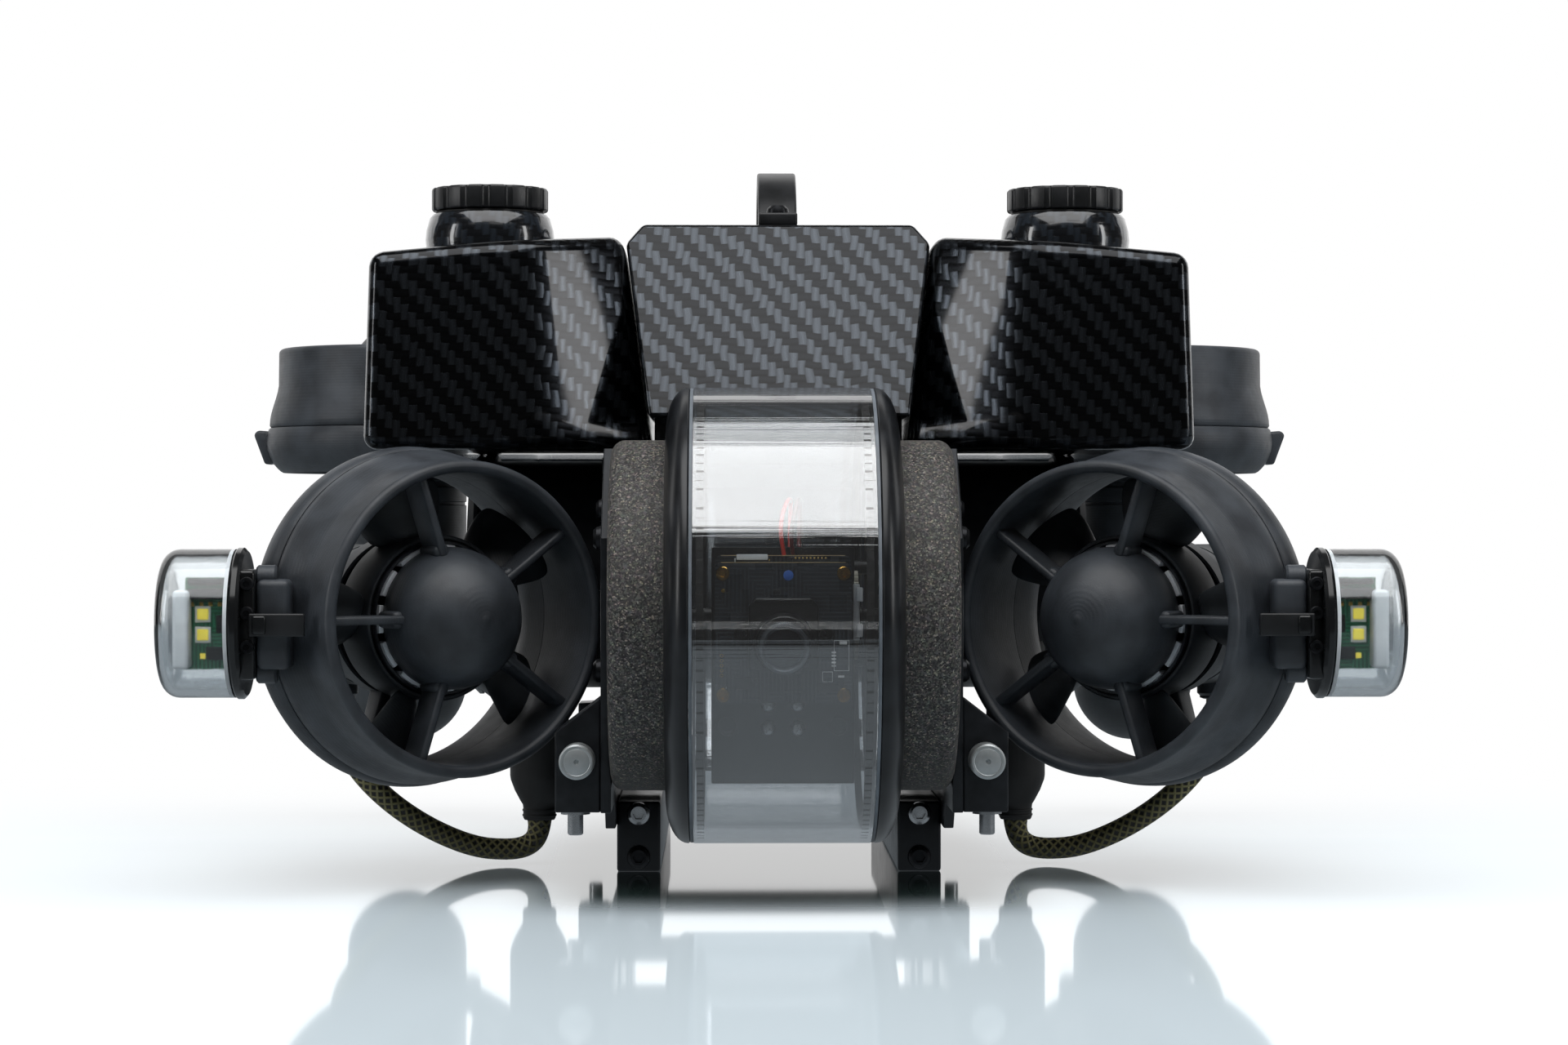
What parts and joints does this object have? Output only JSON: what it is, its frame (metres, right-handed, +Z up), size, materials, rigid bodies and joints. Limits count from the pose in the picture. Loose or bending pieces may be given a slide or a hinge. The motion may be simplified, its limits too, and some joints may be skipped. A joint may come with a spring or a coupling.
{
  "type": "underwater inspection vehicle",
  "caption": "Small underwater inspection vehicle: tilting camera in a clear drum, ducted thrusters, carbon hulls, lamps and payload rods.",
  "frame": {"origin": "bottom centre of the whole vehicle, on the surface the skids stand on", "axes": "+X to the right as seen from the front, +Y to the rear, +Z up"},
  "size_m": [0.367, 0.3637, 0.2156],
  "materials": {
    "carbon_fibre": "glossy 2x2 twill under clear coat",
    "printed_nylon": "satin sintered black nylon",
    "moulded_black": "satin black",
    "grained_black": "coarse grained black coating",
    "clear_acrylic": "polished clear acrylic",
    "anodised_black": "black anodised",
    "brushed_aluminium": "brushed",
    "brushed_steel": "machined",
    "motor_steel": "nickel-plated bell and magnets",
    "black_steel": "black oxide",
    "copper_winding": "enamelled copper on steel",
    "brass": "bright brass",
    "bearing_polymer": "ivory polymer",
    "circuit_board": "black solder mask",
    "lamp_board": "green solder mask with yellow LEDs",
    "rubber": "black rubber",
    "braided_sleeve": "open braided sleeve, olive and black"
  },
  "bodies": {
    "root": {"front_left_nozzle": "printed_nylon", "front_left_intake_ring": "printed_nylon", "front_left_motor_pod": "moulded_black", "front_right_nozzle": "printed_nylon", "front_right_intake_ring": "printed_nylon", "front_right_motor_pod": "moulded_black", "lift_left_nozzle": "printed_nylon", "lift_left_intake_ring": "printed_nylon", "lift_left_motor_pod": "moulded_black", "lift_right_nozzle": "printed_nylon", "lift_right_intake_ring": "printed_nylon", "lift_right_motor_pod": "moulded_black", "motor_stators": "copper_winding", "shaft_bearings": "bearing_polymer", "camera_window": "clear_acrylic", "drum_flange_left": "moulded_black", "drum_hub_left": "grained_black", "lamp_cup_left": "clear_acrylic", "side_hull_left": "carbon_fibre", "side_plate_left": "anodised_black", "thruster_cable_left": "braided_sleeve", "drum_flange_right": "moulded_black", "drum_hub_right": "grained_black", "lamp_cup_right": "clear_acrylic", "side_hull_right": "carbon_fibre", "side_plate_right": "anodised_black", "thruster_cable_right": "braided_sleeve", "window_seals": "rubber", "tilt_servo": "moulded_black", "lamp_bases": "moulded_black", "lamp_boards": "lamp_board", "lamp_brackets": "printed_nylon", "centre_hull": "carbon_fibre", "carry_handle": "anodised_black", "spacer_bars": "anodised_black", "thruster_arms": "anodised_black", "electronics_housing": "anodised_black", "skid_runners": "anodised_black", "clamp_blocks": "anodised_black", "payload_rods": "brushed_aluminium", "thruster_connectors": "rubber", "frame_fasteners": "black_steel"},
    "front_left_screw": {"front_left_propeller": "printed_nylon", "front_left_rotor": "motor_steel"},
    "front_right_screw": {"front_right_propeller": "printed_nylon", "front_right_rotor": "motor_steel"},
    "lift_left_screw": {"lift_left_propeller": "printed_nylon", "lift_left_rotor": "motor_steel"},
    "lift_right_screw": {"lift_right_propeller": "printed_nylon", "lift_right_rotor": "motor_steel"},
    "camera": {"camera_cradle": "moulded_black", "camera_boards": "circuit_board", "camera_fixings": "brass", "camera_lens": "moulded_black", "tilt_gear": "brushed_steel"},
    "servo_output": {"servo_pinion": "brass"},
    "cap_seal_left": {"cap_gasket_left": "rubber"},
    "cap_left": {"tank_cap_left": "moulded_black"},
    "cap_seal_right": {"cap_gasket_right": "rubber"},
    "cap_right": {"tank_cap_right": "moulded_black"}
  },
  "joints": [
    {"name": "front_left_spin", "type": "hinge", "parent": "root", "child": "front_left_screw", "pos_m": [-0.089, -0.12185, 0.077], "axis": [0.5664, -0.8241, 0], "continuous": true},
    {"name": "front_right_spin", "type": "hinge", "parent": "root", "child": "front_right_screw", "pos_m": [0.089, -0.12185, 0.077], "axis": [-0.5664, -0.8241, 0], "continuous": true},
    {"name": "lift_left_spin", "type": "hinge", "parent": "root", "child": "lift_left_screw", "pos_m": [-0.1295, 0.13215, 0.166], "axis": [0, 0, 1], "continuous": true},
    {"name": "lift_right_spin", "type": "hinge", "parent": "root", "child": "lift_right_screw", "pos_m": [0.1295, 0.13215, 0.166], "axis": [0, 0, 1], "continuous": true},
    {"name": "camera_tilt", "type": "hinge", "parent": "root", "child": "camera", "pos_m": [0, -0.11685, 0.078], "axis": [1, 0, 0], "range_deg": [-60, 60]},
    {"name": "servo_turn", "type": "hinge", "parent": "root", "child": "servo_output", "pos_m": [0, -0.10005, 0.078], "axis": [1, 0, 0], "range_deg": [-151, 151]},
    {"name": "cap_turn_left", "type": "hinge", "parent": "root", "child": "cap_seal_left", "pos_m": [-0.088, -0.04685, 0.199], "axis": [0, 0, 1], "range_deg": [0, 900]},
    {"name": "cap_lift_left", "type": "slide", "parent": "cap_seal_left", "child": "cap_left", "axis": [0, 0, 1], "range_m": [0, 0.0101]},
    {"name": "cap_turn_right", "type": "hinge", "parent": "root", "child": "cap_seal_right", "pos_m": [0.088, -0.04685, 0.199], "axis": [0, 0, 1], "range_deg": [0, 900]},
    {"name": "cap_lift_right", "type": "slide", "parent": "cap_seal_right", "child": "cap_right", "axis": [0, 0, 1], "range_m": [0, 0.0101]}
  ],
  "couplings": [
    {"joint": "servo_turn", "follows": "camera_tilt", "ratio": -2.5},
    {"joint": "cap_lift_left", "follows": "cap_turn_left", "m_per_rad": 0.00063662},
    {"joint": "cap_lift_right", "follows": "cap_turn_right", "m_per_rad": 0.00063662}
  ]
}
